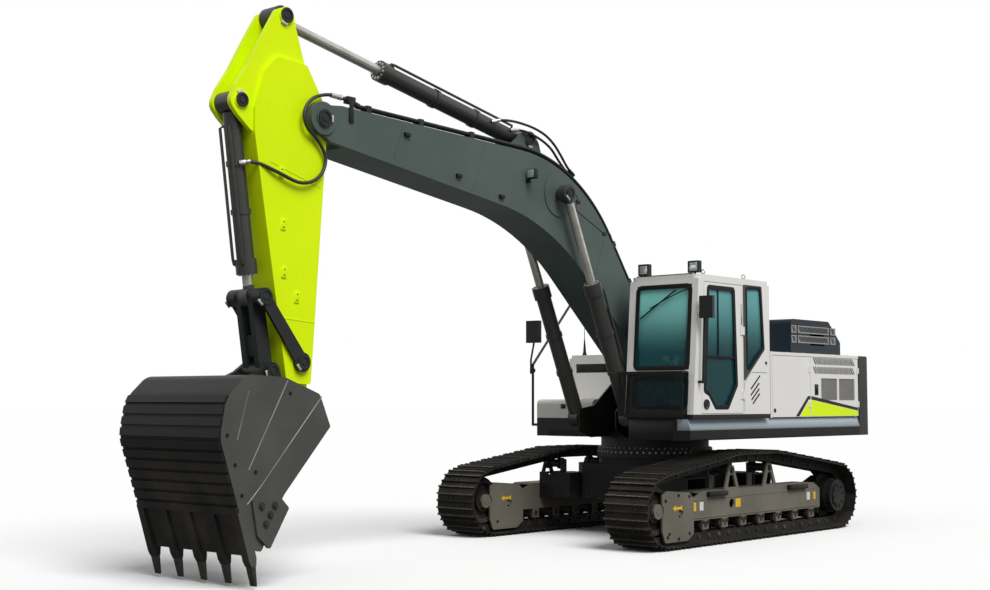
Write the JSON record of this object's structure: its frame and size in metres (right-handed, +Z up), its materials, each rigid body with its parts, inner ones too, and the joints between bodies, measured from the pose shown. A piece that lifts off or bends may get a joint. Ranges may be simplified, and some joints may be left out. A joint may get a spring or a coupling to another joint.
{
  "type": "crawler excavator",
  "caption": "Tracked digging machine: swinging upper with cab, cranked boom, arm and toothed bucket worked by hydraulic cylinders",
  "frame": {"origin": "on the swing axis at the ground", "axes": "+X forward along the tracks, +Y to the cab side, +Z up"},
  "size_m": [11.0191, 3.4885, 5.5415],
  "materials": {
    "lime_paint": "satin",
    "white_paint": "gloss",
    "grey_paint": "satin",
    "charcoal_paint": "satin",
    "black_paint": "satin",
    "track_steel": "worn",
    "bright_steel": "polished",
    "glass": "clear",
    "seat_cloth": "woven",
    "plastic": "matte",
    "engine": "cast"
  },
  "bodies": {
    "undercarriage": {"carbody": "charcoal_paint", "slew_ring": "black_paint", "track_frame_left": "grey_paint", "track_frame_right": "grey_paint", "track_left": "track_steel", "track_right": "track_steel", "idlers": "track_steel", "sprockets": "grey_paint", "track_rollers": "track_steel", "carrier_rollers": "track_steel"},
    "upper": {"revolving_frame": "grey_paint", "counterweight": "charcoal_paint", "engine_block": "engine", "body_cover": "white_paint", "fuel_tank": "white_paint", "tool_box": "black_paint", "handrails": "black_paint", "mirrors": "black_paint", "work_lamps": "black_paint", "cab_floor": "charcoal_paint", "cab_roof": "white_paint", "cab_front_frame": "white_paint", "cab_rear_wall": "white_paint", "cab_right_wall": "white_paint", "cab_left_wall": "white_paint", "cab_glass": "glass", "front_guard": "black_paint", "seat": "seat_cloth", "controls": "plastic"},
    "cab_door": {"cab_door": "white_paint", "door_glass": "glass"},
    "service_door_front": {"service_door_front": "white_paint"},
    "service_door_rear": {"service_door_rear": "white_paint"},
    "pump_door": {"pump_door": "white_paint"},
    "engine_hood": {"engine_hood": "charcoal_paint"},
    "tool_box_lid": {"tool_box_lid": "white_paint"},
    "boom": {"boom": "grey_paint", "boom_pipes": "charcoal_paint"},
    "boom_barrels": {"boom_barrels": "charcoal_paint"},
    "boom_rods": {"boom_rods": "bright_steel"},
    "arm_barrel": {"arm_barrel": "charcoal_paint"},
    "arm_rod": {"arm_rod": "bright_steel"},
    "arm": {"arm": "lime_paint"},
    "bucket_barrel": {"bucket_barrel": "charcoal_paint"},
    "bucket_rod": {"bucket_rod": "bright_steel"},
    "rockers": {"rockers": "charcoal_paint"},
    "h_link": {"h_link": "charcoal_paint"},
    "bucket": {"bucket_shell": "charcoal_paint", "bucket_teeth": "track_steel", "side_cutters": "grey_paint"}
  },
  "joints": [
    {"name": "swing", "type": "hinge", "parent": "undercarriage", "child": "upper", "pos_m": [0, 0, 1.215], "axis": [0, 0, 1], "continuous": true},
    {"name": "boom_lift", "type": "hinge", "parent": "upper", "child": "boom", "pos_m": [0.15, 0, 2], "axis": [0, -1, 0], "range_deg": [-58, 29]},
    {"name": "arm_crowd", "type": "hinge", "parent": "boom", "child": "arm", "pos_m": [6.03026, 0, 4.45976], "axis": [0, 1, 0], "range_deg": [-72, 33]},
    {"name": "bucket_curl", "type": "hinge", "parent": "arm", "child": "bucket", "pos_m": [6.23884, 0, 1.61941], "axis": [0, 1, 0], "range_deg": [0, 168]},
    {"name": "boom_barrel_pivot", "type": "hinge", "parent": "upper", "child": "boom_barrels", "pos_m": [1.12, 0, 1.47], "axis": [0, -1, 0], "range_deg": [-63, 32]},
    {"name": "boom_rod_slide", "type": "slide", "parent": "boom_barrels", "child": "boom_rods", "axis": [0.4145, 0, 0.91], "range_m": [-0.97, 0.49]},
    {"name": "arm_barrel_pivot", "type": "hinge", "parent": "boom", "child": "arm_barrel", "pos_m": [2.7212, 0, 4.7156], "axis": [0, -1, 0], "range_deg": [-3, 6]},
    {"name": "arm_rod_slide", "type": "slide", "parent": "arm_barrel", "child": "arm_rod", "axis": [0.982, 0, 0.189], "range_m": [-1.17, 0.54]},
    {"name": "bucket_barrel_pivot", "type": "hinge", "parent": "arm", "child": "bucket_barrel", "pos_m": [6.96521, 0, 4.50837], "axis": [0, -1, 0], "range_deg": [0, 8]},
    {"name": "bucket_rod_slide", "type": "slide", "parent": "bucket_barrel", "child": "bucket_rod", "axis": [-0.1412, 0, -0.99], "range_m": [0, 1.29]},
    {"name": "rocker_pivot", "type": "hinge", "parent": "arm", "child": "rockers", "pos_m": [6.22559, 0, 2.04559], "axis": [0, -1, 0], "range_deg": [-113, 0]},
    {"name": "link_pivot", "type": "hinge", "parent": "bucket", "child": "h_link", "pos_m": [6.57921, 0, 1.94989], "axis": [0, -1, 0], "range_deg": [0, 110]},
    {"name": "cab_door_hinge", "type": "hinge", "parent": "upper", "child": "cab_door", "pos_m": [0.303, 1.542, 2], "axis": [0, 0, 1], "range_deg": [0, 150]},
    {"name": "front_service_hinge", "type": "hinge", "parent": "upper", "child": "service_door_front", "pos_m": [-1.398, 1.499, 1.9], "axis": [0, 0, 1], "range_deg": [0, 110]},
    {"name": "rear_service_hinge", "type": "hinge", "parent": "upper", "child": "service_door_rear", "pos_m": [-2.727, 1.499, 1.9], "axis": [0, 0, 1], "range_deg": [0, 110]},
    {"name": "pump_door_hinge", "type": "hinge", "parent": "upper", "child": "pump_door", "pos_m": [-2.727, -1.499, 1.9], "axis": [0, 0, -1], "range_deg": [0, 110]},
    {"name": "hood_hinge", "type": "hinge", "parent": "upper", "child": "engine_hood", "pos_m": [-1.408, 0, 2.3145], "axis": [0, 1, 0], "range_deg": [0, 55]},
    {"name": "tool_lid_hinge", "type": "hinge", "parent": "upper", "child": "tool_box_lid", "pos_m": [-0.084, -1, 1.704], "axis": [0, -1, 0], "range_deg": [0, 75]}
  ],
  "couplings": [
    {"joint": "boom_barrel_pivot", "follows": "boom_lift", "ratio": 1.0736},
    {"joint": "boom_rod_slide", "follows": "boom_lift", "m_per_rad": 0.9521},
    {"joint": "arm_barrel_pivot", "follows": "arm_crowd", "ratio": -0.0743},
    {"joint": "arm_rod_slide", "follows": "arm_crowd", "m_per_rad": 0.9253},
    {"joint": "bucket_barrel_pivot", "follows": "bucket_curl", "ratio": 0.0424},
    {"joint": "bucket_rod_slide", "follows": "bucket_curl", "m_per_rad": 0.4359},
    {"joint": "rocker_pivot", "follows": "bucket_curl", "ratio": -0.6685},
    {"joint": "link_pivot", "follows": "bucket_curl", "ratio": 0.6489}
  ]
}
